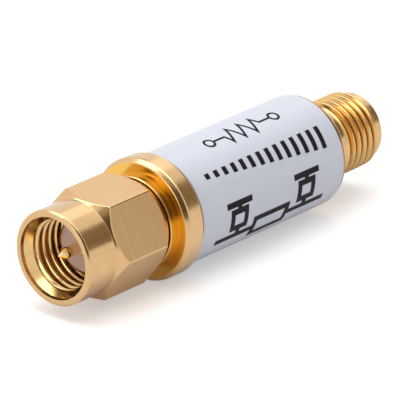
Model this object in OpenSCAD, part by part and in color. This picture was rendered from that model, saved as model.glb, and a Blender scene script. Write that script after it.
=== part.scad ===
// Fixed coaxial attenuator: a screw-on plug at one end, a threaded jack at the other.
// The common axis is X and the plug's mating plane is x = 0. The plug faces -X and the jack faces +X.
// Turned pieces are drawn as [radius, x] outlines and revolved about the axis. All sizes are in millimetres.

/* [Coaxial interface] */
// Major diameter of the coupling thread
thread_d = 6.35; // [6.2:0.01:6.6]
// Pitch of the coupling thread
thread_pitch = 0.7056; // [0.6:0.0001:0.8]
// Outer diameter of the plug's contact sleeve
sleeve_d = 4.58; // [4.5:0.01:4.8]
// Diameter of the bores that hold the insulators
dielectric_d = 4.1; // [3.9:0.01:4.2]
// Diameter of the pin where it enters a socket
pin_d = 0.92; // [0.85:0.01:1]
// Diameter of the centre conductors inside the insulators
conductor_d = 1.27; // [1.2:0.01:1.5]
// Gap on the radius between pieces that are pressed or slid together
seat_gap = 0.02; // [0.01:0.005:0.04]

/* [Coupling nut] */
// Hexagon across flats
nut_af = 7.92; // [7.8:0.01:9]
// Radial amount turned off the hexagon's corners
nut_corner_trim = 0.03; // [0.02:0.01:0.25]
// Length of the nut
nut_l = 9.32; // [9:0.01:11]
// How far the nut stands in front of the mating plane
nut_reach = 3.27; // [2.8:0.01:3.6]
// Length of the round collar in front of the hexagon
nut_collar_l = 2.95; // [2.5:0.05:3.5]
// Radial step from the flats down to the collar
nut_collar_step = 0.12; // [0.05:0.01:0.2]
// Angle of the hexagon's front chamfer to the axis
nut_front_angle = 44; // [35:1:50]
// Angle of the hexagon's rear chamfer to the axis
nut_rear_angle = 45; // [35:1:50]
// Radial step from the flats down to the rear collar
nut_rear_step = 0.36; // [0.15:0.01:0.4]
// Length of the round collar behind the hexagon
nut_rear_collar_l = 0.27; // [0.2:0.01:0.9]
// Rounding of the collar's front edge
nut_edge_r = 0.14; // [0.08:0.01:0.2]
// Radial clearance of the plain mouth over the thread
nut_mouth_gap = 0.145; // [0.08:0.005:0.2]
// Distance from the nut's front face to its thread
nut_mouth_l = 1.25; // [0.95:0.05:1.6]
// Angle of the cone that leads from the mouth into the thread, to the axis
nut_mouth_angle = 30; // [30:1:60]
// Radial running gap between the nut and the plug shell
nut_running_gap = 0.08; // [0.05:0.01:0.1]
// How far the nut floats forward on the plug shell
nut_float = 0.4; // [0.2:0.05:0.5]
// Distance from the plug shell's shoulder to each end of the relief behind the thread
nut_relief = 0.5; // [0.4:0.05:0.7]
// Gap between the nut's rear face and the plug shell's collar
nut_gap = 0.12; // [0.08:0.01:0.5]
// Angle at which the nut happens to stand
nut_roll = 3.9; // [0:0.1:60]

/* [Retaining ring] */
// Axial thickness of the ring
ring_t = 0.5; // [0.4:0.05:0.6]
// How deep the ring's groove is cut into the plug shell
ring_shell_depth = 0.42; // [0.35:0.01:0.48]
// How deep the ring's groove is cut into the nut
ring_nut_depth = 0.4; // [0.3:0.01:0.5]
// Radial gap between the ring and the floor of each groove
ring_floor_gap = 0.08; // [0.05:0.01:0.1]
// Gap between the ring and each side of its groove
ring_side_gap = 0.04; // [0.02:0.01:0.06]
// Opening of the split ring
ring_split = 28; // [15:1:60]
// Distance from the sleeve's shoulder to the ring groove
ring_setback = 1.4; // [1.2:0.05:1.8]

/* [Plug shell] */
// Length of the contact sleeve in front of its shoulder
sleeve_l = 2.0; // [1.95:0.05:2.3]
// Diameter of the journal that the nut turns on
journal_d = 5.7; // [5.5:0.02:5.9]
// Diameter of the collar that stands behind the nut and seats on the barrel
shell_collar_d = 7.5; // [7.1:0.05:7.6]
// Length of that collar
shell_collar_l = 0.59; // [0.4:0.01:0.9]
// Chamfer of its front edge
shell_collar_chamfer = 0.07; // [0.03:0.01:0.12]
// Length of the spigot that is pressed into the barrel
spigot_l = 3.3; // [2.5:0.1:4]
// How far the pin's point stands in front of the mating plane
pin_reach = 2.57; // [2:0.01:2.7]
// Length of the pin's pointed tip
pin_tip_l = 0.6; // [0.5:0.05:1]
// Diameter of the flat on the pin's point
pin_tip_d = 0.16; // [0.1:0.01:0.3]

/* [Barrel] */
// Diameter of the barrel at its front rim
barrel_d = 9.98; // [9.7:0.01:11]
// Length of the barrel
barrel_l = 19.62; // [17:0.01:24]
// Length of the bare rim in front of the label
rim_l = 1.75; // [1.2:0.01:2.5]
// Radial width of the chamfer on the rim's front edge
rim_chamfer_w = 0.31; // [0.1:0.01:0.4]
// Length of that chamfer along the axis
rim_chamfer_l = 0.36; // [0.1:0.01:0.6]
// Chamfer of the barrel's rear edge
rear_chamfer = 0.12; // [0.05:0.01:0.25]
// Bore of the barrel
bore_d = 6.9; // [6.5:0.05:7.4]
// Thickness of the wall between the cavity and the barrel's rear face
rear_wall_l = 3.8; // [2.5:0.1:5]

/* [Label] */
// Depth of the recess that the label lies in
label_recess = 0.425; // [0.3:0.005:0.5]
// Thickness of the label film
label_t = 0.08; // [0.05:0.01:0.08]
// Bare strip between the rim and the label
label_front_margin = 0.48; // [0.02:0.01:0.6]
// Bare strip between the label and the barrel's rear edge
label_rear_margin = 0.28; // [0.1:0.01:0.4]
// Angle over which the label's ends overlap
label_overlap = 22; // [10:1:40]

/* [Jack] */
// Length of the plain shank behind the barrel
shank_l = 2.12; // [0.8:0.01:2.6]
// Diameter of the shank
shank_d = 6; // [5.6:0.05:6.05]
// Length of the threaded stretch
jack_thread_l = 3.9; // [3.4:0.05:6.5]
// Length of the plain lead at the jack's end
lead_l = 0.65; // [0.4:0.01:0.9]
// Diameter of the plain lead
lead_d = 5.7; // [5.5:0.02:5.8]
// Depth of the jack's mouth
mouth_l = 1.93; // [1.7:0.01:1.95]
// Radial clearance of the jack's mouth over a plug's sleeve
mouth_gap = 0.03; // [0.02:0.005:0.06]
// Bore of the socket that takes a mating pin
socket_bore_d = 0.95; // [0.93:0.01:1.03]
// Depth of the socket's bore
socket_bore_l = 3.2; // [2.6:0.1:4]
// Width of the four slots in the socket
socket_slot_w = 0.14; // [0.1:0.01:0.16]
// Length of the slots in the socket
socket_slot_l = 2.4; // [1.8:0.1:2.6]

/* [Insulators] */
// Diameter of the flange at each insulator's inner end
bead_flange_d = 5.4; // [5:0.05:5.8]
// Length of that flange
bead_flange_l = 1.0; // [0.7:0.05:1.4]

/* [Attenuator card] */
// Width of the ceramic card
card_w = 6.0; // [5.4:0.05:6.2]
// Thickness of the ceramic card
card_t = 0.4; // [0.3:0.02:0.5]
// Space between each insulator and the card's end
card_end_gap = 0.3; // [0.2:0.05:0.6]
// Thickness of the printed films
film_t = 0.03; // [0.02:0.005:0.04]
// Length of the terminals under the centre conductors
terminal_l = 2.4; // [2.2:0.05:3]
// Width of those terminals
terminal_w = 1.2; // [1:0.05:1.5]
// Width of the ground terminals along the card's edges
ground_w = 1.1; // [1:0.05:1.4]
// Width of the series resistor
series_w = 0.7; // [0.4:0.05:1]
// Width of each shunt resistor along the card
shunt_w = 0.9; // [0.5:0.05:1]
// Width of the channel over the card in the ground clamps
channel_w = 3.5; // [3.2:0.05:3.6]
// Height of that channel above and below the card
channel_h = 1.5; // [1.2:0.05:2]
// Length of each conductor's tail that grips the card
grip_l = 1.3; // [0.8:0.05:1.6]
// Gap at the end of the slot in each tail
grip_gap = 0.1; // [0.05:0.01:0.15]
// Space between the glaze and what stands round it
glaze_gap = 0.1; // [0.05:0.01:0.15]

/* [Hidden] */

$fn = 96;
corner_steps = 5;
past = 1;                     // how far a cutter runs past what it cuts
thread_depth_ratio = 0.5413;  // depth of a female thread over its pitch

gold = [0.86, 0.66, 0.36];
bronze = [0.72, 0.5, 0.24];
brass_plain = [0.78, 0.62, 0.34];
ptfe = [0.72, 0.64, 0.6];
film_white = [0.84, 0.85, 0.88];
alumina = [0.93, 0.92, 0.88];
silver = [0.8, 0.8, 0.78];
resistor_black = [0.12, 0.12, 0.13];
glaze_blue = [0.2, 0.36, 0.34];

// Radii that several pieces share
thread_r = thread_d / 2;
thread_minor_r = thread_r - thread_depth_ratio * thread_pitch;
dielectric_r = dielectric_d / 2;
journal_r = journal_d / 2;
nut_bore_r = journal_r + nut_running_gap;
bore_r = bore_d / 2;
barrel_r = barrel_d / 2;
recess_r = barrel_r - label_recess;
bead_flange_r = bead_flange_d / 2;
conductor_r = conductor_d / 2;

// Stations along the axis, from the nut's front face to the jack's end
nut_x = -nut_reach;
nut_end_x = nut_x + nut_l;
shell_collar_x = nut_end_x + nut_gap;
barrel_x = shell_collar_x + shell_collar_l;
shell_end_x = barrel_x + spigot_l;
cavity_end_x = barrel_x + barrel_l - rear_wall_l;
barrel_end_x = barrel_x + barrel_l;
jack_thread_x = barrel_end_x + shank_l;
lead_x = jack_thread_x + jack_thread_l;
jack_end_x = lead_x + lead_l;
jack_ref_x = jack_end_x - mouth_l;
ring_groove_x = sleeve_l + ring_setback;
ring_x = ring_groove_x + ring_side_gap;

// The card and its films
card_x = shell_end_x + card_end_gap;
card_end_x = cavity_end_x - card_end_gap;
card_top = card_t / 2;
film_top = card_top + film_t;

// Points on a quarter round or part of one, in an outline's [radius, x] plane
function arc(center, r, from, to) =
    [for (i = [0:corner_steps]) let (a = from + (to - from) * i / corner_steps)
        center + r * [cos(a), sin(a)]];

// A [radius, x] outline turned about the X axis
module turned(outline, angle = 360) {
    rotate([0, 90, 0]) rotate_extrude(angle = angle) polygon(outline);
}

// A box given by its low corner and its size, centred across Y
module slab(x, l, w, z, h) {
    translate([x, -w / 2, z]) cube([l, w, h]);
}

// The envelope that the hexagon's two ends are chamfered to
module nut_envelope() {
    flat_r = nut_af / 2;
    corner_r = flat_r / cos(30) - nut_corner_trim;
    collar_r = flat_r - nut_collar_step;
    rear_r = flat_r - nut_rear_step;
    hex_x = nut_x + nut_collar_l;
    hex_end_x = nut_end_x - nut_rear_collar_l;
    turned([
        [0, hex_x],
        [collar_r, hex_x],
        [corner_r, hex_x + (corner_r - collar_r) / tan(nut_front_angle)],
        [corner_r, hex_end_x - (corner_r - rear_r) / tan(nut_rear_angle)],
        [rear_r, hex_end_x],
        [rear_r, nut_end_x],
        [0, nut_end_x]
    ]);
}

// Mouth, thread core, relief, journal bore and ring groove of the nut
module nut_bore() {
    mouth_r = thread_r + nut_mouth_gap;
    relief_r = thread_r + nut_mouth_gap / 2;
    relief_x = sleeve_l - nut_relief;
    web_x = sleeve_l + nut_relief;
    ring_groove_r = nut_bore_r + ring_nut_depth;
    thread_x = nut_x + nut_mouth_l;
    turned([
        [0, nut_x - past],
        [mouth_r, nut_x - past],
        [mouth_r, thread_x - (mouth_r - thread_minor_r) / tan(nut_mouth_angle)],
        [thread_minor_r, thread_x],
        [thread_minor_r, relief_x],
        [relief_r, relief_x],
        [relief_r, web_x],
        [nut_bore_r, web_x],
        [nut_bore_r, ring_groove_x],
        [ring_groove_r, ring_groove_x],
        [ring_groove_r, ring_x + ring_t + ring_side_gap],
        [nut_bore_r, ring_x + ring_t + ring_side_gap],
        [nut_bore_r, nut_end_x + past],
        [0, nut_end_x + past]
    ]);
}

// Hexagon nut with a round collar, turned and milled from one bar
module coupling_nut() {
    collar_r = nut_af / 2 - nut_collar_step;
    color(gold) rotate([nut_roll, 0, 0]) difference() {
        union() {
            turned(concat(
                [[0, nut_x]],
                arc([collar_r - nut_edge_r, nut_x + nut_edge_r], nut_edge_r, -90, 0),
                [[collar_r, nut_x + nut_l / 2], [0, nut_x + nut_l / 2]]
            ));
            intersection() {
                translate([nut_x, 0, 0]) rotate([0, 90, 0]) rotate([0, 0, 30])
                    cylinder(d = nut_af / cos(30), h = nut_l, $fn = 6);
                nut_envelope();
            }
        }
        nut_bore();
    }
}

// Split spring ring that holds the nut on the plug shell
module retaining_ring() {
    inner_r = journal_r - ring_shell_depth + ring_floor_gap;
    outer_r = nut_bore_r + ring_nut_depth - ring_floor_gap;
    color(bronze) rotate([ring_split / 2, 0, 0]) turned([
        [inner_r, ring_x], [outer_r, ring_x], [outer_r, ring_x + ring_t], [inner_r, ring_x + ring_t]
    ], 360 - ring_split);
}

// Outer conductor of the plug: contact sleeve, journal with the ring groove, collar and press-in spigot
module plug_shell() {
    sleeve_r = sleeve_d / 2;
    edge = (sleeve_r - dielectric_r) / 3;
    groove_r = journal_r - ring_shell_depth;
    groove_x = ring_groove_x - nut_float;
    groove_end_x = ring_x + ring_t + ring_side_gap;
    collar_r = shell_collar_d / 2;
    spigot_r = bore_r - seat_gap;
    color(gold) turned([
        [dielectric_r, 0],
        [sleeve_r - edge, 0],
        [sleeve_r, edge],
        [sleeve_r, sleeve_l],
        [journal_r, sleeve_l],
        [journal_r, groove_x],
        [groove_r, groove_x],
        [groove_r, groove_end_x],
        [journal_r, groove_end_x],
        [journal_r, shell_collar_x],
        [collar_r - shell_collar_chamfer, shell_collar_x],
        [collar_r, shell_collar_x + shell_collar_chamfer],
        [collar_r, barrel_x],
        [spigot_r, barrel_x],
        [spigot_r, shell_end_x],
        [bead_flange_r, shell_end_x],
        [bead_flange_r, shell_end_x - bead_flange_l],
        [dielectric_r, shell_end_x - bead_flange_l]
    ]);
}

// Slot that lets a conductor's tail straddle the card, cut from x to x + l
module card_slot(x, l) {
    slab(x, l, conductor_d + past, -card_top - seat_gap, film_top + card_top + seat_gap);
}

// Pointed centre pin with a slotted tail that grips the card's input terminal
module centre_pin() {
    pin_r = pin_d / 2;
    tip_r = pin_tip_d / 2;
    tail_end_x = card_x + grip_l;
    color(gold) difference() {
        turned([
            [0, -pin_reach],
            [tip_r, -pin_reach],
            [pin_r, pin_tip_l - pin_reach],
            [pin_r, 0],
            [conductor_r, 0],
            [conductor_r, tail_end_x],
            [0, tail_end_x]
        ]);
        card_slot(card_x - grip_gap, grip_l + grip_gap + past);
    }
}

// Plastic bead between two stations, with its flange at the inner station
module insulator(outer_x, inner_x) {
    toward_outer = outer_x < inner_x ? -1 : 1;
    flange_x = inner_x + toward_outer * bead_flange_l;
    hole_r = conductor_r + seat_gap;
    color(ptfe) turned([
        [hole_r, outer_x],
        [dielectric_r - seat_gap, outer_x],
        [dielectric_r - seat_gap, flange_x],
        [bead_flange_r - seat_gap, flange_x],
        [bead_flange_r - seat_gap, inner_x],
        [hole_r, inner_x]
    ]);
}

module front_insulator() { insulator(0, shell_end_x); }

module rear_insulator() { insulator(jack_ref_x, cavity_end_x); }

// Main body in one turned piece: rim, label recess, shank, threaded jack and the stepped bore
module barrel() {
    lead_r = lead_d / 2;
    mouth_r = sleeve_d / 2 + mouth_gap;
    mouth_edge = (lead_r - mouth_r) / 9;
    shank_r = shank_d / 2;
    thread_lead = thread_r - lead_r;
    flange_seat_x = cavity_end_x + bead_flange_l;
    color(gold) turned([
        [bore_r, barrel_x],
        [barrel_r - rim_chamfer_w, barrel_x],
        [barrel_r, barrel_x + rim_chamfer_l],
        [barrel_r, barrel_x + rim_l],
        [recess_r, barrel_x + rim_l],
        [recess_r, barrel_end_x - rear_chamfer],
        [recess_r - rear_chamfer, barrel_end_x],
        [shank_r, barrel_end_x],
        [shank_r, jack_thread_x - (thread_r - shank_r)],
        [thread_r, jack_thread_x],
        [thread_r, lead_x - thread_lead],
        [lead_r, lead_x],
        [lead_r, jack_end_x - mouth_edge],
        [lead_r - mouth_edge, jack_end_x],
        [mouth_r, jack_end_x],
        [mouth_r, jack_ref_x],
        [dielectric_r, jack_ref_x],
        [dielectric_r, flange_seat_x],
        [bead_flange_r, flange_seat_x],
        [bead_flange_r, cavity_end_x],
        [bore_r, cavity_end_x]
    ]);
}

// Adhesive film wrapped once round the barrel, its last stretch lying on its first
module label() {
    start_x = barrel_x + rim_l + label_front_margin;
    end_x = barrel_end_x - rear_chamfer - label_rear_margin;
    inner_r = recess_r;
    outer_r = inner_r + label_t;
    color(film_white) union() {
        turned([[inner_r, start_x], [outer_r, start_x], [outer_r, end_x], [inner_r, end_x]]);
        turned([
            [outer_r - label_t / 2, start_x], [outer_r + label_t, start_x],
            [outer_r + label_t, end_x], [outer_r - label_t / 2, end_x]
        ], label_overlap);
    }
}

// Half-round metal shoe that grips the card's edges; face is the height of its flat side
module ground_clamp(side, face) {
    clamp_l = cavity_end_x - shell_end_x;
    color(brass_plain) mirror([0, 0, side < 0 ? 1 : 0]) difference() {
        intersection() {
            translate([shell_end_x, 0, 0]) rotate([0, 90, 0]) cylinder(r = bore_r - seat_gap, h = clamp_l);
            slab(shell_end_x, clamp_l, bore_d, face, bore_r);
        }
        slab(shell_end_x - past, clamp_l + 2 * past, channel_w, -past, channel_h + past);
    }
}

module upper_ground_clamp() { ground_clamp(1, film_top); }

module lower_ground_clamp() { ground_clamp(-1, card_top); }

// Ceramic card that carries the printed network
module attenuator_card() {
    color(alumina) slab(card_x, card_end_x - card_x, card_w, -card_top, card_t);
}

// A printed patch on the card
module film(x, l, y, w) {
    translate([x, y, card_top]) cube([l, w, film_t]);
}

module input_terminal() {
    color(silver) film(card_x, terminal_l, -terminal_w / 2, terminal_w);
}

module output_terminal() {
    color(silver) film(card_end_x - terminal_l, terminal_l, -terminal_w / 2, terminal_w);
}

// Ground strips along both long edges
module ground_terminals() {
    color(silver) for (y = [-card_w / 2, card_w / 2 - ground_w]) film(card_x, card_end_x - card_x, y, ground_w);
}

module series_resistor() {
    color(resistor_black)
        film(card_x + terminal_l, card_end_x - card_x - 2 * terminal_l, -series_w / 2, series_w);
}

// A pair of resistors from one terminal out to both ground strips
module shunt_pair(x) {
    reach = card_w / 2 - ground_w - terminal_w / 2;
    color(resistor_black) for (y = [terminal_w / 2, -terminal_w / 2 - reach]) film(x, shunt_w, y, reach);
}

module input_shunt_resistors() { shunt_pair(card_x + terminal_l - shunt_w); }

module output_shunt_resistors() { shunt_pair(card_end_x - terminal_l); }

// Glass layer over the resistors, between the two tails and inside the clamps' channel
module resistor_glaze() {
    start_x = card_x + grip_l + glaze_gap;
    end_x = card_end_x - grip_l - glaze_gap;
    color(glaze_blue) slab(start_x, end_x - start_x, channel_w - 2 * glaze_gap, film_top, film_t);
}

// Spring socket: slotted bore at the jack's end, slotted tail on the card's output terminal
module socket_contact() {
    tail_x = card_end_x - grip_l;
    color(gold) difference() {
        turned([
            [0, tail_x],
            [conductor_r, tail_x],
            [conductor_r, jack_ref_x],
            [socket_bore_d / 2, jack_ref_x],
            [socket_bore_d / 2, jack_ref_x - socket_bore_l],
            [0, jack_ref_x - socket_bore_l - socket_bore_d / 2]
        ]);
        card_slot(tail_x - past, grip_l + grip_gap + past);
        for (turn = [45, 135]) rotate([turn, 0, 0])
            slab(jack_ref_x - socket_slot_l, socket_slot_l + past, conductor_d + past,
                 -socket_slot_w / 2, socket_slot_w);
    }
}

coupling_nut();
retaining_ring();
plug_shell();
centre_pin();
front_insulator();
barrel();
label();
upper_ground_clamp();
lower_ground_clamp();
attenuator_card();
input_terminal();
output_terminal();
ground_terminals();
series_resistor();
input_shunt_resistors();
output_shunt_resistors();
resistor_glaze();
socket_contact();
rear_insulator();
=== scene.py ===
import bpy
import numpy as np
from mathutils import Matrix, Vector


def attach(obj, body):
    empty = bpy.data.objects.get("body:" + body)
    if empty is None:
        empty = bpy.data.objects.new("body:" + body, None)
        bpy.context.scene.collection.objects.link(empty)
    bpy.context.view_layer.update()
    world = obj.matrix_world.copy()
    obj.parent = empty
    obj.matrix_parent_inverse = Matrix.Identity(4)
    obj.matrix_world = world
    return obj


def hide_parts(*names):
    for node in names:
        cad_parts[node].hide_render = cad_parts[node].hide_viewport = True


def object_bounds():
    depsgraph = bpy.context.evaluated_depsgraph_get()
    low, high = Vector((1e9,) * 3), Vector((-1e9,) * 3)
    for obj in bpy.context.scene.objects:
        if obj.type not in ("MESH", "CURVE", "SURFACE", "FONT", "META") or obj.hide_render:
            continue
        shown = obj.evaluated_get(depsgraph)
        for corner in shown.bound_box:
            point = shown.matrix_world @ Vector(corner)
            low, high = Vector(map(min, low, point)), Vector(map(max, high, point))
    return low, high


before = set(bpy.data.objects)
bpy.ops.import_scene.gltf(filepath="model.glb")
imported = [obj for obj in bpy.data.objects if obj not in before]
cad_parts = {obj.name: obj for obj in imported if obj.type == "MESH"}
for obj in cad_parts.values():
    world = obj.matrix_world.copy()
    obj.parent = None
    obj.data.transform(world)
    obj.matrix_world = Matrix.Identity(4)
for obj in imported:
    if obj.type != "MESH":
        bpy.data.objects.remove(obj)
cad_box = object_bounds()


# Attenuator card
# An alumina card carries the pad: fired silver terminals, black resistor films and a glass layer over them.
# The layers are screen printed one on another and fired, so each has a fine grain and an uneven colour.

def add_node(tree, kind, inputs=None, **settings):
    """Adds one shader node. Inputs maps a socket to a constant or to the output that feeds it."""
    made = tree.nodes.new(kind)
    for key, value in settings.items():
        setattr(made, key, value)
    for socket, value in (inputs or {}).items():
        if isinstance(value, bpy.types.NodeSocket):
            tree.links.new(value, made.inputs[socket])
        else:
            made.inputs[socket].default_value = value
    return made


def start_finish(name):
    """A new material emptied down to one Principled shader.
    Returns the material, its node tree and the shader."""
    material = bpy.data.materials.new(name)
    material.use_nodes = True
    tree = material.node_tree
    tree.nodes.clear()
    shader = add_node(tree, "ShaderNodeBsdfPrincipled")
    add_node(tree, "ShaderNodeOutputMaterial", {"Surface": shader.outputs["BSDF"]})
    return material, tree, shader


def mix_colours(tree, share, first, second):
    """The colour that lies between first and second by share, a number from 0 to 1 on a socket."""
    mix = add_node(tree, "ShaderNodeMix", data_type="RGBA")
    tree.links.new(share, mix.inputs["Factor"])
    for socket, colour in (("A", first), ("B", second)):
        if isinstance(colour, bpy.types.NodeSocket):
            tree.links.new(colour, mix.inputs[socket])
        else:
            mix.inputs[socket].default_value = (*colour, 1)
    return mix.outputs["Result"]


def grained_finish(name, light, dark, roughness, metallic, grain, depth, specular=0.5):
    """An even finish with a fine grain. Noise of that grain size in metres drives the colour, from dark to
    light, the roughness, from its first value to its second, and a relief of that depth."""
    material, tree, shader = start_finish(name)
    place = add_node(tree, "ShaderNodeTexCoord").outputs["Object"]
    noise = add_node(tree, "ShaderNodeTexNoise", {"Vector": place, "Scale": 1 / grain, "Detail": 4.0})
    share = noise.outputs["Fac"]
    gloss = add_node(tree, "ShaderNodeMapRange", {
        "Value": share, "To Min": roughness[0], "To Max": roughness[1]})
    relief = add_node(tree, "ShaderNodeBump", {"Height": share, "Distance": depth, "Strength": 0.6})
    tree.links.new(mix_colours(tree, share, dark, light), shader.inputs["Base Color"])
    tree.links.new(gloss.outputs["Result"], shader.inputs["Roughness"])
    tree.links.new(relief.outputs["Normal"], shader.inputs["Normal"])
    shader.inputs["Metallic"].default_value = metallic
    shader.inputs["Specular IOR Level"].default_value = specular
    return material


def dress(node, material):
    """Gives a CAD node that keeps its own shape a better material."""
    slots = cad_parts[node].data.materials
    slots.clear()
    slots.append(material)


fired_alumina = grained_finish(
    "fired_alumina", (0.90, 0.89, 0.85), (0.80, 0.79, 0.75), (0.45, 0.6), 0.0, grain=5e-5, depth=1.5e-6)
fired_silver = grained_finish(
    "fired_silver", (0.80, 0.79, 0.76), (0.66, 0.65, 0.62), (0.3, 0.45), 1.0, grain=4e-5, depth=1.5e-6)
resistor_ink = grained_finish(
    "resistor_ink", (0.030, 0.030, 0.034), (0.012, 0.012, 0.014), (0.35, 0.55), 0.0,
    grain=4e-5, depth=1.2e-6)
overglaze = grained_finish(
    "overglaze", (0.05, 0.14, 0.12), (0.03, 0.10, 0.09), (0.08, 0.15), 0.0, grain=3e-4, depth=2e-6)
dress("attenuator_card", fired_alumina)
for terminal in ("input_terminal", "output_terminal", "ground_terminals"):
    dress(terminal, fired_silver)
for resistor in ("series_resistor", "input_shunt_resistors", "output_shunt_resistors"):
    dress(resistor, resistor_ink)
dress("resistor_glaze", overglaze)


# Ground clamps
# Two half-round brass shoes pinch the card's edges and ground it to the bore of the barrel.
# They are turned from bar, split and slotted, and left bare.

bare_brass = grained_finish(
    "bare_brass", (0.70, 0.50, 0.22), (0.56, 0.38, 0.15), (0.25, 0.4), 1.0, grain=2e-4, depth=1.5e-6)
for clamp in ("upper_ground_clamp", "lower_ground_clamp"):
    dress(clamp, bare_brass)


# Contacts
# The plug's pointed pin and the jack's slotted socket are turned from copper alloy and gold plated.
# Each straddles the card with a slotted tail that is soldered to its terminal.

GOLD_LIGHT = (0.80, 0.525, 0.265)
GOLD_DEEP = (0.70, 0.435, 0.205)
# The last two tones are painted light: a deeper orange gold for reflections of gold on gold and shade in
# recesses, and a brown for shade at the bottom of grooves.
GOLD_PAINTED_INTERREFLECTION = (0.79, 0.45, 0.07)
GOLD_PAINTED_SHADE = (0.20, 0.085, 0.012)


def gold_plating(name, roughness, mark_size, mark_depth, milled_roughness=0.0, straight_beyond=1.0,
                 tones=(GOLD_DEEP, GOLD_LIGHT), interreflection_tone=GOLD_PAINTED_INTERREFLECTION):
    """Satin gold on turned metal. Tool marks are noise over station and distance from the axis, so they
    run round the piece. Distance counts up to straight_beyond only, so the marks on milled flats out there
    run straight. The attribute milled, 1 on such flats, makes them rougher by milled_roughness and lets the
    marks show in the colour. Two more attributes mix in painted light: the first, 1 in corners and
    recesses, a deeper orange gold that is painted reflection of gold on gold and painted shade; the
    second, 1 at the bottom of a thread and in narrow gaps, a brown that is painted shade."""
    material, tree, shader = start_finish(name)
    place = add_node(tree, "ShaderNodeTexCoord").outputs["Object"]
    parts = add_node(tree, "ShaderNodeSeparateXYZ", {"Vector": place})
    across = add_node(tree, "ShaderNodeCombineXYZ", {"Y": parts.outputs["Y"], "Z": parts.outputs["Z"]})
    distance = add_node(tree, "ShaderNodeVectorMath", {0: across.outputs["Vector"]}, operation="LENGTH")
    held = add_node(
        tree, "ShaderNodeMath", {0: distance.outputs["Value"], 1: straight_beyond}, operation="MINIMUM")
    outline = add_node(tree, "ShaderNodeCombineXYZ", {
        "X": parts.outputs["X"], "Y": held.outputs["Value"]})
    marks = add_node(tree, "ShaderNodeTexNoise", {
        "Vector": outline.outputs["Vector"], "Scale": 1 / mark_size, "Detail": 5.0, "Roughness": 0.65},
        noise_dimensions="2D")
    cloud = add_node(tree, "ShaderNodeTexNoise", {"Vector": place, "Scale": 600.0, "Detail": 3.0})
    gloss = add_node(tree, "ShaderNodeMapRange", {
        "Value": marks.outputs["Fac"], "From Min": 0.3, "From Max": 0.7,
        "To Min": roughness[0], "To Max": roughness[1]})
    milled = add_node(tree, "ShaderNodeAttribute", attribute_name="milled").outputs["Fac"]
    dulled = add_node(tree, "ShaderNodeMath", {
        0: milled, 1: milled_roughness, 2: gloss.outputs["Result"]}, operation="MULTIPLY_ADD")
    relief = add_node(tree, "ShaderNodeBump", {
        "Height": marks.outputs["Fac"], "Distance": mark_depth, "Strength": 1.0})
    round_axis = add_node(tree, "ShaderNodeTangent", direction_type="RADIAL", axis="X")
    scored = add_node(tree, "ShaderNodeMapRange", {
        "Value": marks.outputs["Fac"], "From Min": 0.2, "From Max": 0.7, "To Max": 0.85})
    share = add_node(tree, "ShaderNodeMix", {
        "Factor": milled, "A": cloud.outputs["Fac"], "B": scored.outputs["Result"]}, data_type="FLOAT")
    tone = mix_colours(tree, share.outputs["Result"], *tones)
    # Painted light: a deeper gold for reflections and shade in recesses, then brown for shade in grooves.
    for attribute, painted_tone in (("painted_interreflection", interreflection_tone), ("painted_shade", GOLD_PAINTED_SHADE)):
        painted_share = add_node(tree, "ShaderNodeAttribute", attribute_name=attribute).outputs["Fac"]
        tone = mix_colours(tree, painted_share, tone, painted_tone)
    tree.links.new(tone, shader.inputs["Base Color"])
    tree.links.new(dulled.outputs["Value"], shader.inputs["Roughness"])
    tree.links.new(relief.outputs["Normal"], shader.inputs["Normal"])
    tree.links.new(round_axis.outputs["Tangent"], shader.inputs["Tangent"])
    shader.inputs["Metallic"].default_value = 1.0
    shader.inputs["Anisotropic"].default_value = 0.5
    shader.inputs["Coat Weight"].default_value = 0.5
    shader.inputs["Coat IOR"].default_value = 1.3
    shader.inputs["Coat Roughness"].default_value = 0.12
    return material


contact_gold = gold_plating(
    "contact_gold", (0.08, 0.14), 1.2e-4, 2e-7, tones=((0.90, 0.66, 0.36), (0.97, 0.76, 0.45)))
for contact in ("centre_pin", "socket_contact"):
    dress(contact, contact_gold)


# Insulators
# Two waxy fluoropolymer beads hold the contacts on the axis.
# They are turned from rod and pressed into the bores from inside, up to their flanges.

waxy_polymer = grained_finish(
    "waxy_polymer", (0.80, 0.59, 0.49), (0.73, 0.53, 0.44), (0.38, 0.5), 0.0, grain=2.5e-4, depth=2e-6)
for insulator in ("front_insulator", "rear_insulator"):
    dress(insulator, waxy_polymer)


# Plug shell
# The plug's outer conductor: contact sleeve, journal for the nut, collar and press-in spigot in one piece.
# It is turned and gold plated, so its edges are slightly rounded.
# The collar stands behind the nut and seats on the barrel.

MM = 0.001
FILLET_STEPS = np.linspace(0, 1, 5)
SUPPORT = 1.9
CORNER_SHARE = 0.45


def soften(corners, cut):
    """Rounds the corners of outlines, an array of corner, column and [station, radius]. Each corner becomes
    a parabola that starts and ends at the cut distance, with one more row just outside each end to keep the
    faces beside it flat. These rows take up at most CORNER_SHARE of a face, so neighbours never meet. The
    first and last corner stay as they are."""
    point = corners[1:-1]
    back = corners[:-2] - point
    ahead = corners[2:] - point
    back_length = np.linalg.norm(back, axis=-1, keepdims=True)
    ahead_length = np.linalg.norm(ahead, axis=-1, keepdims=True)
    reach = np.minimum(cut, CORNER_SHARE / SUPPORT * np.minimum(back_length, ahead_length))
    start = back / back_length * reach
    end = ahead / ahead_length * reach
    share = FILLET_STEPS[None, :, None, None]
    curve = point[:, None] + (1 - share) ** 2 * start[:, None] + share ** 2 * end[:, None]
    rows = np.concatenate([
        (point + SUPPORT * start)[:, None], curve, (point + SUPPORT * end)[:, None]], axis=1)
    rows = rows.reshape(-1, *corners.shape[1:])
    return np.concatenate([corners[:1], rows, corners[-1:]])


def outline_of(corners, columns):
    """An outline given as [station, radius] corners in millimetres, the same in every column."""
    return np.repeat(np.array(corners, float)[:, None, :], columns, axis=1)


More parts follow.
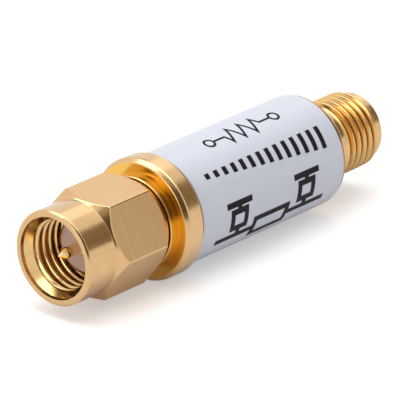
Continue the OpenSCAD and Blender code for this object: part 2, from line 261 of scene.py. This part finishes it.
def add_piece(name, points, faces, material, smooth=True):
    """A new object at the origin, from points in metres and faces as lists of point numbers."""
    mesh = bpy.data.meshes.new(name)
    mesh.from_pydata(points.reshape(-1, 3).tolist(), [], faces)
    mesh.polygons.foreach_set("use_smooth", np.full(len(faces), smooth))
    mesh.materials.append(material)
    mesh.update()
    piece = bpy.data.objects.new(name, mesh)
    bpy.context.scene.collection.objects.link(piece)
    return piece


def round_axis_points(station, radius, turns):
    """Points in metres: x is the station, y the radius times the turn's cosine, z that times its sine."""
    return np.stack([station, radius * np.cos(turns), radius * np.sin(turns)], axis=-1) * MM


def turned_piece(name, rows, turns, material):
    """Carries rows of [station, radius] in millimetres round the X axis through the given turns, and closes
    the grid both ways."""
    points = round_axis_points(rows[..., 0], rows[..., 1], turns)
    here = np.arange(points[..., 0].size).reshape(rows.shape[:2])
    next_row = np.roll(here, -1, axis=0)
    quads = np.stack([here, np.roll(here, -1, axis=1), np.roll(next_row, -1, axis=1), next_row], axis=-1)
    return add_piece(name, points, quads.reshape(-1, 4).tolist(), material)


def mark_vertices(piece, name, values):
    """Keeps one number per vertex under that name, for the material to read."""
    marks = piece.data.attributes.new(name, "FLOAT", "POINT")
    marks.data.foreach_set("value", values.ravel().astype(float))


sleeve_r = 2.29
sleeve_end = 2.0
sleeve_edge = 0.08
journal_r = 2.85
shell_groove = (3.0, 3.98)
shell_groove_r = 2.43
collar_start = 6.17
collar_end = 6.76
shell_collar_r = 3.75
collar_chamfer = 0.07
painted_tone_margin = 0.03
spigot_r = 3.43
shell_end = 10.06
bead_r = 2.05
bead_flange_r = 2.70
bead_flange_l = 1.0
shell_fillet = 0.02
shell_turns = np.linspace(0, 2 * np.pi, 192, endpoint=False)

# The outline starts and ends in the bore, halfway along the sleeve, where nothing has to be rounded.
bore_middle = sleeve_end / 2
flange_start = shell_end - bead_flange_l
shell_outline = outline_of([
    (bore_middle, bead_r), (0.0, bead_r), (0.0, sleeve_r - sleeve_edge), (sleeve_edge, sleeve_r),
    (sleeve_end, sleeve_r), (sleeve_end, journal_r), (shell_groove[0], journal_r),
    (shell_groove[0], shell_groove_r), (shell_groove[1], shell_groove_r), (shell_groove[1], journal_r),
    (collar_start, journal_r), (collar_start, shell_collar_r - collar_chamfer),
    (collar_start + collar_chamfer, shell_collar_r), (collar_end, shell_collar_r), (collar_end, spigot_r),
    (shell_end, spigot_r), (shell_end, bead_flange_r), (flange_start, bead_flange_r),
    (flange_start, bead_r), (bore_middle, bead_r)], len(shell_turns))
shell_gold = gold_plating("shell_gold", (0.12, 0.2), 1.5e-4, 4e-7)
shell_rows = soften(shell_outline, shell_fillet)[:-1]
plug_shell = turned_piece("shell_turned", shell_rows, shell_turns, shell_gold)
# Behind the collar's chamfer and a small margin, the gold takes a deeper tone: painted reflection and shade
# between the collar, the nut and the barrel.
behind_edge = shell_rows[..., 0] > collar_start + collar_chamfer + painted_tone_margin
mark_vertices(plug_shell, "painted_interreflection", behind_edge)
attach(plug_shell, "attenuator")
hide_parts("plug_shell")


# Retaining ring
# A split ring of bronze wire snaps into the groove of the nut and runs in the wider groove of the shell.
# It is bare metal and can't be seen from outside.

spring_bronze = grained_finish(
    "spring_bronze", (0.62, 0.38, 0.15), (0.48, 0.28, 0.10), (0.2, 0.35), 1.0, grain=1.5e-4, depth=1e-6)
dress("retaining_ring", spring_bronze)


# Coupling nut
# The nut is turned from hexagon bar, its flats milled, its ends chamfered and its bore threaded.
# It is gold plated, a little yellower in the bore. The ring holds it, and it spins on the shell. The marks
# of the cutter run straight across the flats.

THREAD_PITCH = 0.7056
THREAD_R = 3.175
THREAD_EASE = 0.15


def thread_height(station, turn, crest, root):
    """Height, 0 to 1, of a right-hand thread. The phase is station over pitch less the turn. A triangle
    wave of it is cut flat over the shares crest and root of the pitch, and a smooth step, mixed in by
    THREAD_EASE, eases the corners."""
    phase = (station / THREAD_PITCH - turn / (2 * np.pi)) % 1
    ramp = 1 - np.abs(2 * phase - 1)
    cut = np.clip((ramp - root) / (1 - root - crest), 0, 1)
    return (1 - THREAD_EASE) * cut + THREAD_EASE * cut * cut * (3 - 2 * cut)


def groove_shade(depth, share, start, span):
    """Share of a painted tone at a depth in a thread from 0 to 1: none down to start, then rising to share
    over span.
    """
    return share * np.clip((depth - start) / span, 0, 1)


nut_front = -3.27
nut_rear = 6.05
hex_start = -0.32
flat_r = 3.96
corner_round = 0.19
collar_r = 3.84
neck_r = 3.60
neck_start = 5.78
front_slope = np.tan(np.radians(44))
rear_slope = np.tan(np.radians(45))
nut_roll = np.radians(3.9)
nut_edge = 0.14
nut_mouth_r = 3.32
nut_minor_r = 2.793
nut_root_r = 3.22
nut_thread_start = -2.02
nut_cone = 0.913
nut_run_in = 0.35
nut_phase = 0.35
nut_thread_rows = 138
nut_relief_start = 1.5
nut_relief_r = 3.2475
nut_web = 2.5
nut_bore_r = 2.93
nut_groove = (3.40, 3.98)
nut_groove_r = 3.33
nut_bore_fillet = 0.03
nut_mouth_fillet = 0.025
nut_lip_r = nut_mouth_r + 0.05
nut_rear_middle_r = (neck_r + nut_bore_r) / 2
row_step = 0.02

# Each corner of the hexagon is a small round, whose columns stand close together; the flats lie between.
side_turn = np.pi / 3
half_side = np.pi / 6
round_columns = 11
flat_columns = 28
round_place = (flat_r - corner_round) / np.cos(half_side)
round_half = np.arctan2(corner_round / 2, round_place + corner_round * np.cos(half_side))
flat_begin = 1.15 * round_half
one_side = np.concatenate([
    np.linspace(-round_half, round_half, round_columns),
    np.linspace(flat_begin, side_turn - flat_begin, flat_columns)])
hex_turns = (np.arange(6)[:, None] * np.pi / 3 + one_side).reshape(-1)
from_flat = (hex_turns % side_turn) - half_side
from_corner = half_side - np.abs(from_flat)
on_round = from_corner < (round_half + flat_begin) / 2
round_r = round_place * np.cos(from_corner) + np.sqrt(
    np.clip(corner_round ** 2 - (round_place * np.sin(from_corner)) ** 2, 0, None))
hex_r = np.where(on_round, round_r, flat_r / np.cos(from_flat))
columns = len(hex_turns)


def nut_row(station, radius):
    """One row of the nut's outline, where station or radius may differ from column to column."""
    return np.stack(np.broadcast_arrays(station, radius, hex_turns)[:2], axis=-1)


nut_outside = np.stack([
    nut_row(nut_front, nut_lip_r),
    nut_row(nut_front, collar_r - nut_edge),
    nut_row(nut_front + nut_edge, collar_r),
    nut_row(hex_start, collar_r),
    nut_row(hex_start + (hex_r - collar_r) / front_slope, hex_r),
    nut_row(neck_start - (hex_r - neck_r) / rear_slope, hex_r),
    nut_row(neck_start, neck_r),
    nut_row(nut_rear, neck_r),
    nut_row(nut_rear, nut_rear_middle_r)])
nut_fillets = np.array([0.03, 0.03, 0.015, 0.06, 0.04, 0.02, 0.03])[:, None, None]
nut_inside = outline_of([
    (nut_rear, nut_rear_middle_r), (nut_rear, nut_bore_r), (nut_groove[1], nut_bore_r),
    (nut_groove[1], nut_groove_r), (nut_groove[0], nut_groove_r), (nut_groove[0], nut_bore_r),
    (nut_web, nut_bore_r), (nut_web, nut_relief_r), (nut_relief_start, nut_relief_r)], columns)

# The thread runs forward from its relief and fades out in the cone that leads in from the mouth.
cone_end = nut_thread_start - nut_cone
thread_station = np.linspace(nut_relief_start, cone_end, nut_thread_rows)[:, None]
in_cone = np.clip((nut_thread_start - thread_station) / nut_cone, 0, 1)
lead_in = nut_minor_r + in_cone * (nut_mouth_r - nut_minor_r)
groove = thread_height(thread_station + nut_phase, hex_turns + nut_roll, crest=0.125, root=0.2)
groove *= np.clip((thread_station - nut_thread_start) / nut_run_in + 1, 0, 1)
thread_r = np.maximum(lead_in, nut_minor_r + groove * (nut_root_r - nut_minor_r))
nut_thread = np.stack(np.broadcast_arrays(thread_station, thread_r), axis=-1)
nut_mouth = outline_of([
    (cone_end - row_step, nut_mouth_r), (nut_front, nut_mouth_r), (nut_front, nut_lip_r)], columns)
outer_rows = soften(nut_outside, nut_fillets)
nut_rows = np.concatenate([
    outer_rows, soften(nut_inside, nut_bore_fillet)[1:], nut_thread,
    soften(nut_mouth, nut_mouth_fillet)[:-1]])
nut_gold = gold_plating(
    "nut_gold", (0.13, 0.22), 1.3e-4, 7e-7, milled_roughness=0.22, straight_beyond=collar_r * MM)
bore_gold = gold_plating(
    "bore_gold", (0.13, 0.22), 1.3e-4, 7e-7, tones=((0.74, 0.49, 0.20), (0.82, 0.555, 0.25)))
coupling_nut = turned_piece("nut_milled", nut_rows, hex_turns + nut_roll, nut_gold)
coupling_nut.data.materials.append(bore_gold)

# Marks for the gold: the bore's own plating, milled flats, brown painted shade in the thread's grooves, and a
# deeper tone painted on the rear cone as shade.
flat_touch = 0.003
painted_cone_start = neck_start - 0.1
painted_cone_r = flat_r - 0.05
nut_station, nut_radius = nut_rows[..., 0], nut_rows[..., 1]
in_bore = np.repeat(np.arange(len(nut_rows))[:, None] >= len(outer_rows), columns, axis=1)
coupling_nut.data.polygons.foreach_set("material_index", in_bore.ravel().astype(np.int32))
on_flat = (np.abs(nut_radius * np.cos(from_flat) - flat_r) < flat_touch) & ~on_round
in_groove = in_bore & (nut_station > nut_thread_start) & (nut_station < nut_relief_start)
groove_depth = in_groove * (nut_radius - nut_minor_r) / (nut_root_r - nut_minor_r)
on_rear_cone = (nut_station > painted_cone_start) & (nut_radius < painted_cone_r)
mark_vertices(coupling_nut, "milled", on_flat)
mark_vertices(coupling_nut, "painted_shade", groove_shade(groove_depth, share=0.45, start=0.3, span=0.4))
mark_vertices(coupling_nut, "painted_interreflection", on_rear_cone)
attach(coupling_nut, "coupling_nut")
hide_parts("coupling_nut")


# Barrel
# Rim, body, shank and threaded jack are turned from one brass bar, the thread cut last, and gold plated.
# The plug shell's spigot is pressed into its front bore.

barrel_start = 6.76
barrel_end = 26.38
barrel_r = 4.99
rim_chamfer = (0.36, 0.31)
rim_end = 8.51
recess_r = 4.565
rear_chamfer = 0.12
bore_r = 3.45
front_middle_r = bore_r + 0.3
cavity_end = 22.58
flange_seat = 23.58
shank_r = 3.0
ring_start = 27.77
ring_r = 3.10
ring_end = 28.30
ring_flat_end = ring_end - 0.1
jack_thread_start = 28.50
jack_root_r = 2.742
jack_phase = 0.305
jack_rise = 0.4
jack_thread_rows = 220
jack_lead_start = 32.40
jack_lead_r = 2.85
jack_end = 33.05
jack_edge = 0.059
jack_mouth_r = 2.32
jack_ref = 31.12
jack_fillet = 0.03
jack_turns = np.linspace(0, 2 * np.pi, 264, endpoint=False)

barrel_front = outline_of([
    (barrel_start, front_middle_r), (barrel_start, barrel_r - rim_chamfer[1]),
    (barrel_start + rim_chamfer[0], barrel_r), (rim_end, barrel_r), (rim_end, recess_r),
    (barrel_end - rear_chamfer, recess_r), (barrel_end, recess_r - rear_chamfer), (barrel_end, shank_r),
    (ring_start, shank_r), (ring_start + ring_r - shank_r, ring_r), (ring_flat_end, ring_r)],
    len(jack_turns))
barrel_fillets = np.array([0.06, 0.07, 0.06, 0.01, 0.06, 0.06, 0.08, 0.03, 0.03])[:, None, None]

# The grooves deepen over the first pitch behind the ring, and their bottoms rise again to meet the lead.
jack_station = np.linspace(ring_flat_end + row_step, jack_lead_start, jack_thread_rows)[:, None]
past_ring = jack_station - ring_end
before_lead = jack_lead_start - jack_station
jack_crest_r = ring_r + np.clip(past_ring / (jack_thread_start - ring_end), 0, 1) * (THREAD_R - ring_r)
jack_depth = (THREAD_R - jack_root_r) * np.clip(past_ring / THREAD_PITCH, 0, 1) ** 0.5
jack_cut = thread_height(jack_station - jack_phase, jack_turns, crest=0.17, root=0.13)
jack_r = np.minimum(jack_crest_r - (1 - jack_cut) * jack_depth, jack_lead_r + before_lead)
jack_r = np.maximum(jack_r, jack_lead_r - jack_rise * before_lead)
jack_thread = np.stack(np.broadcast_arrays(jack_station, jack_r), axis=-1)
barrel_rear = outline_of([
    (jack_lead_start + row_step, jack_lead_r), (jack_end - jack_edge, jack_lead_r),
    (jack_end, jack_lead_r - jack_edge), (jack_end, jack_mouth_r), (jack_ref, jack_mouth_r),
    (jack_ref, bead_r), (flange_seat, bead_r), (flange_seat, bead_flange_r), (cavity_end, bead_flange_r),
    (cavity_end, bore_r), (barrel_start, bore_r), (barrel_start, front_middle_r)], len(jack_turns))
barrel_rows = np.concatenate([
    soften(barrel_front, barrel_fillets), jack_thread, soften(barrel_rear, jack_fillet)[:-1]])
# The barrel's deeper tone is painted reflection of gold on gold, yellower than on the other pieces.
barrel_gold = gold_plating("barrel_gold", (0.14, 0.24), 1.8e-4, 4e-7, interreflection_tone=(0.95, 0.57, 0.10))
barrel = turned_piece("barrel_turned", barrel_rows, jack_turns, barrel_gold)

# Marks for the gold: a deeper tone painted on the rim's face, behind the label and in the thread for the
# reflections of gold on gold there, and a brown painted shade in the thread's grooves and on the strip that
# the label leaves bare at its rear end.
face_tone = 0.85
behind_tone = 0.4
strip_shade = 0.6
strip_l = 0.2
thread_clear = 0.2
touch = 0.01
station, radius = barrel_rows[..., 0], barrel_rows[..., 1]
on_face = (station < barrel_start + touch) & (radius > bore_r)
behind_label = (station > barrel_end - touch) & (station < ring_start) & (radius > bead_flange_r)
on_recess = (radius > recess_r - rear_chamfer - touch) & (radius < recess_r + touch)
on_strip = on_recess & (station > barrel_end - strip_l)
on_thread = (station > ring_end) & (station < jack_lead_start - thread_clear) & (radius > jack_root_r - touch)
thread_depth = on_thread * (THREAD_R - radius) / (THREAD_R - jack_root_r)
deep_thread = groove_shade(thread_depth, share=0.5, start=0, span=1 / 6)
dark_thread = groove_shade(thread_depth, share=0.95, start=0.4, span=0.25)
mark_vertices(barrel, "painted_interreflection", face_tone * on_face + behind_tone * behind_label + deep_thread)
mark_vertices(barrel, "painted_shade", dark_thread + strip_shade * on_strip)
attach(barrel, "attenuator")
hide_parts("barrel")


# Label
# A white polyester film with an adhesive back is wrapped once round the recess of the barrel.
# Its last stretch lies on its first, so the film climbs by its own thickness just before the seam.

label_start = 8.99
label_end = 25.98
label_t = 0.08
seam = np.radians(-90)
overlap = np.radians(22)
climb = np.radians(9)
film_edge = 0.012
film_flat = 0.05
film_crease = np.radians(30)

wrap = np.linspace(0, 2 * np.pi + overlap, 300)
lift = np.clip((wrap - 2 * np.pi + climb) / climb, 0, 1)
film_r = recess_r + label_t * lift * lift * (3 - 2 * lift)
film_section = np.array([
    (label_start, film_edge), (label_start, label_t - film_edge), (label_start + film_edge, label_t),
    (label_start + film_flat, label_t), (label_end - film_flat, label_t), (label_end - film_edge, label_t),
    (label_end, label_t - film_edge), (label_end, film_edge), (label_end - film_edge, 0.0),
    (label_start + film_edge, 0.0)])


def wrapped_film(name, section, inner_r, turns, material):
    """Carries a closed section of [station, height] in millimetres along the wrap, where each turn has its
    own inner radius, and closes the two ends with one face each."""
    radius = section[:, 1:] + inner_r
    points = round_axis_points(np.broadcast_to(section[:, :1], radius.shape), radius, turns)
    here = np.arange(radius.size).reshape(radius.shape)
    next_row = np.roll(here, -1, axis=0)
    quads = np.stack([here[:, :-1], here[:, 1:], next_row[:, 1:], next_row[:, :-1]], axis=-1).reshape(-1, 4)
    ends = [here[:, 0].tolist(), here[::-1, -1].tolist()]
    return add_piece(name, points, quads.tolist() + ends, material)


label_film = grained_finish(
    "label_film", (0.65, 0.67, 0.765), (0.615, 0.635, 0.73), (0.28, 0.34), 0.0,
    grain=4e-4, depth=2e-7, specular=0.7)
label = wrapped_film("label_wrapped", film_section, film_r, wrap + seam, label_film)
label.data.set_sharp_from_angle(angle=film_crease)
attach(label, "attenuator")
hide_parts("label")


# Label print
# Plain marks screen printed on the film in black ink: a resistor, a falling scale and a pad, as in a circuit.
# They are upright when the jack is held to the reader's left, so their tops point down to the table here.
# Stations are in millimetres and heights in degrees round the barrel.

ink_sunk = 0.002
ink_r = recess_r + label_t - ink_sunk
ink_t = 0.012
ink_steps = 8
QUARTER_TURN = np.array([(0, 1), (-1, 0)])


def ink_line(path, width, closed=False):
    """A flat line of ink. Its path runs over [station, degrees round the barrel], and an arc is its degrees
    times the radius. Each side lies half the width off the path, mitred at corners, so the section is a thin
    box. Returns the points and the faces, with an end face at each end of an open line."""
    corners = np.array(path, float) * (1, np.radians(ink_r))
    corners = np.concatenate([corners, corners[:1]]) if closed else corners
    step = np.linspace(0, len(corners) - 1, ink_steps * (len(corners) - 1) + 1)
    line = np.stack([
        np.interp(step, np.arange(len(corners)), corners[:, axis]) for axis in (0, 1)], axis=-1)
    line = line[:-1] if closed else line
    ahead = np.roll(line, -1, axis=0) - line
    ahead[-1] = ahead[-1] if closed else ahead[-2]
    ahead /= np.linalg.norm(ahead, axis=-1, keepdims=True)
    behind = np.roll(ahead, 1, axis=0)
    behind[0] = behind[0] if closed else ahead[0]
    side = (ahead + behind) @ QUARTER_TURN
    side *= width / np.sum(side * (ahead @ QUARTER_TURN), axis=-1, keepdims=True) / 2
    flat = np.stack([line - side, line - side, line + side, line + side], axis=1)
    radius = ink_r + ink_t * np.array([0, 1, 1, 0])
    points = round_axis_points(flat[..., 0], radius, flat[..., 1] / ink_r).reshape(-1, 3)
    here = np.arange(len(points)).reshape(-1, 4)
    next_section = np.roll(here, -1, axis=0)
    quads = np.stack([
        here, next_section, np.roll(next_section, -1, axis=1), np.roll(here, -1, axis=1)], axis=-1)
    quads = quads.reshape(-1, 4) if closed else np.concatenate([
        quads[:-1].reshape(-1, 4), here[:1], here[-1:, ::-1]])
    return points, quads


def ink_ring(station, middle, radius):
    """Path of a circle of that radius in millimetres round a point of the film."""
    turn = np.linspace(0, 2 * np.pi, 28, endpoint=False)
    height = middle + np.degrees(radius / ink_r) * np.sin(turn)
    return np.stack([station + radius * np.cos(turn), height], axis=-1)


sign_line = 0.21
sign_middle = 102.5
sign_ends = (13.85, 21.55)
sign_ring_r = 0.45
sign_gap = 0.55
zigzag = np.linspace(15.6, 19.8, 13)
swing = np.degrees(0.85 / ink_r) * np.array([0, 1, 0, -1] * 3 + [0])
resistor_sign = [
    ink_line(ink_ring(end, sign_middle, sign_ring_r), sign_line, closed=True) for end in sign_ends]
resistor_sign.append(ink_line([
    (sign_ends[0] + sign_gap, sign_middle), *zip(zigzag, sign_middle + swing),
    (sign_ends[1] - sign_gap, sign_middle)], sign_line))

bar_line = 0.48
bar_count = 14
bar_foot = 132.5
bar_station = np.linspace(24.1, 10.9, bar_count)
bar_top = bar_foot + np.linspace(23.5, 6.0, bar_count)
falling_scale = [
    ink_line([(place, bar_foot), (place, top)], bar_line) for place, top in zip(bar_station, bar_top)]

pad_line = 0.50
rail = 207.0
ground = 171.5
rail_ends = (10.8, 23.9)
series_box = (15.4, 19.3)
box_half = 10
shunt_half = 0.8
shunt_foot = 8
ground_half = 1.5
half_line = 3.1


def ink_box(left, right, first, last):
    """A rectangle of ink between two stations and two heights."""
    return ink_line([(left, first), (right, first), (right, last), (left, last)], pad_line, closed=True)


pad_sign = [
    ink_line([(rail_ends[0], rail), (series_box[0] - pad_line / 2, rail)], pad_line),
    ink_line([(series_box[1] + pad_line / 2, rail), (rail_ends[1], rail)], pad_line),
    ink_box(*series_box, rail - box_half, rail + box_half)]
for shunt in (13.3, 21.4):
    pad_sign += [
        ink_line([(shunt, rail - half_line), (shunt, rail - box_half + half_line)], pad_line),
        ink_box(shunt - shunt_half, shunt + shunt_half, rail - box_half, ground + shunt_foot),
        ink_line([(shunt, ground + shunt_foot - half_line), (shunt, ground + half_line)], pad_line),
        ink_line([(shunt - ground_half, ground), (shunt + ground_half, ground)], pad_line)]

ink_marks = resistor_sign + falling_scale + pad_sign
mark_starts = np.cumsum([0] + [len(points) for points, _ in ink_marks[:-1]])
print_points = np.concatenate([points for points, _ in ink_marks])
print_quads = np.concatenate([quads + start for (_, quads), start in zip(ink_marks, mark_starts)])
print_ink = grained_finish(
    "print_ink", (0.010, 0.010, 0.013), (0.005, 0.005, 0.007), (0.45, 0.6), 0.0,
    grain=1.5e-4, depth=1.5e-6, specular=0.15)
label_print = add_piece("label_print", print_points, print_quads.tolist(), print_ink, smooth=False)
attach(label_print, "attenuator")


# Floor and light
# A plain white table in a soft white studio with four softboxes. Brown, dark and tan cards stand round the
# table, out of the camera's sight, and draw the streaks by which polished metal reads as round.

def seen_rays(tree, mirrored):
    """1 on rays from the camera, mirrored on rays from metal and glass, 0 on rays that light other things."""
    path = add_node(tree, "ShaderNodeLightPath")
    bounced = add_node(tree, "ShaderNodeMath", {
        0: path.outputs["Is Glossy Ray"], 1: path.outputs["Is Transmission Ray"]}, operation="MAXIMUM")
    seen = add_node(tree, "ShaderNodeMath", {
        0: bounced.outputs["Value"], 1: mirrored, 2: path.outputs["Is Camera Ray"]},
        operation="MULTIPLY_ADD")
    return seen.outputs["Value"]


floor_half = 1.5
floor_z = cad_box[0][2]
floor_mirrored = 0.2
floor_strength = 0.40
floor_white = bpy.data.materials.new("floor_white")
floor_white.use_nodes = True
floor_tree = floor_white.node_tree
floor_tree.nodes.clear()
floor_matt = add_node(floor_tree, "ShaderNodeBsdfDiffuse", {"Color": (0.78, 0.78, 0.78, 1)})
floor_level = add_node(floor_tree, "ShaderNodeMath", {
    0: seen_rays(floor_tree, floor_mirrored), 1: floor_strength}, operation="MULTIPLY")
floor_glow = add_node(floor_tree, "ShaderNodeEmission", {
    "Color": (1, 1, 1, 1), "Strength": floor_level.outputs["Value"]})
floor_sum = add_node(floor_tree, "ShaderNodeAddShader", {
    0: floor_matt.outputs["BSDF"], 1: floor_glow.outputs["Emission"]})
add_node(floor_tree, "ShaderNodeOutputMaterial", {"Surface": floor_sum.outputs["Shader"]})
floor_points = np.array([
    (-floor_half, -floor_half, floor_z), (floor_half, -floor_half, floor_z),
    (floor_half, floor_half, floor_z), (-floor_half, floor_half, floor_z)])
floor = add_piece("floor", floor_points, [[0, 1, 2, 3]], floor_white, smooth=False)

studio = bpy.data.worlds.new("studio")
studio.use_nodes = True
bpy.context.scene.world = studio
studio_tree = studio.node_tree
studio_tree.nodes.clear()
sky_place = add_node(studio_tree, "ShaderNodeSeparateXYZ", {
    "Vector": add_node(studio_tree, "ShaderNodeTexCoord").outputs["Generated"]})
sky_level = add_node(studio_tree, "ShaderNodeMapRange", {
    "Value": sky_place.outputs["Z"], "From Min": 0.0, "From Max": 0.8, "To Min": 0.40, "To Max": 0.75})
studio_level = add_node(studio_tree, "ShaderNodeMix", {
    "Factor": seen_rays(studio_tree, 1.0), "A": sky_level.outputs["Result"], "B": 1.0}, data_type="FLOAT")
studio_glow = add_node(studio_tree, "ShaderNodeBackground", {
    "Color": (1, 1, 1, 1), "Strength": studio_level.outputs["Result"]})
add_node(studio_tree, "ShaderNodeOutputWorld", {"Surface": studio_glow.outputs["Background"]})

object_middle = np.array([0.014, 0.0, 0.0])


def standing(place, right, back):
    """Matrix at place whose X axis is right and whose Z axis is back. Its Y axis is square to both."""
    axes = np.stack([right, np.cross(back, right), back], axis=1)
    return Matrix.Translation(place) @ Matrix(axes.tolist()).to_4x4()


def softbox(name, place, size, power):
    """A square area lamp of that size in metres, aimed at the middle of the object."""
    lamp = bpy.data.lights.new(name, "AREA")
    lamp.size = size
    lamp.energy = power
    back = np.array(place) - object_middle
    back /= np.linalg.norm(back)
    right = np.cross((0, 0, 1), back)
    right /= np.linalg.norm(right)
    lamp_object = bpy.data.objects.new(name, lamp)
    lamp_object.matrix_world = standing(place, right, back)
    bpy.context.scene.collection.objects.link(lamp_object)


softbox("top_softbox", (0.0, -0.03, 0.62), 0.55, 1.9)
softbox("left_softbox", (-0.207, 0.264, 0.491), 0.30, 0.65)
softbox("right_softbox", (0.470, 0.196, 0.420), 0.23, 0.08)
softbox("front_softbox", (-0.55, 0.0, 0.20), 0.30, 0.45)

card_distance = 0.46


def card_finish(name, light, dark):
    """Matt card in two tones that drift into each other over a few centimetres."""
    return grained_finish(name, light, dark, (0.8, 0.9), 0.0, grain=5e-2, depth=1e-5)


def studio_card(name, first_turn, last_turn, low, high, material):
    """Part of an upright round wall, given in degrees about the object and above the table: x and y follow
    the turn's cosine and sine, z the tangent of the height. The camera doesn't see it, but polished metal
    does."""
    turns = np.radians(np.linspace(first_turn, last_turn, 25))[:, None]
    heights = card_distance * np.tan(np.radians([low, high]))
    points = np.stack(np.broadcast_arrays(
        object_middle[0] + card_distance * np.cos(turns), card_distance * np.sin(turns), heights), axis=-1)
    here = np.arange(points[..., 0].size).reshape(-1, 2)
    quads = np.stack([here[:-1, 0], here[:-1, 1], here[1:, 1], here[1:, 0]], axis=-1)
    card = add_piece(name, points, quads.tolist(), material, smooth=False)
    card.visible_camera = False


card_brown = card_finish("room_brown", (0.38, 0.31, 0.20), (0.08, 0.06, 0.035))
card_dark = card_finish("room_dark", (0.11, 0.085, 0.05), (0.04, 0.03, 0.018))
card_tan = card_finish("room_tan", (0.44, 0.38, 0.30), (0.28, 0.24, 0.18))
studio_card("dark_room", -54, -10, 10.5, 41.5, card_brown)
studio_card("dark_stand", 197, 242, 1, 46, card_dark)
studio_card("dark_curtain", 140, 164, 29, 42, card_dark)
studio_card("dark_flag", 46, 72, 36, 58, card_dark)
studio_card("tan_shelf", 184, 216, 46, 60, card_tan)


# Camera
# A long lens looks down on the plug end, as in the photograph.
# Its place, its axes and its focal length come from a fit to the object's outline there.

camera_place = np.array([-277.49, -250.27, 156.63]) * MM
camera_right = np.array([0.6515, -0.7585, 0.0])
camera_back = np.array([-0.7021, -0.6030, 0.3786])
camera_data = bpy.data.cameras.new("camera")
camera_data.sensor_width = 36.0
camera_data.sensor_fit = "HORIZONTAL"
camera_data.lens = 477.6
camera_data.clip_start = 0.01
camera_data.clip_end = 10.0
camera = bpy.data.objects.new("camera", camera_data)
camera.matrix_world = standing(camera_place, camera_right, camera_back)
bpy.context.scene.collection.objects.link(camera)
bpy.context.scene.camera = camera
bpy.context.scene.view_settings.view_transform = "Standard"
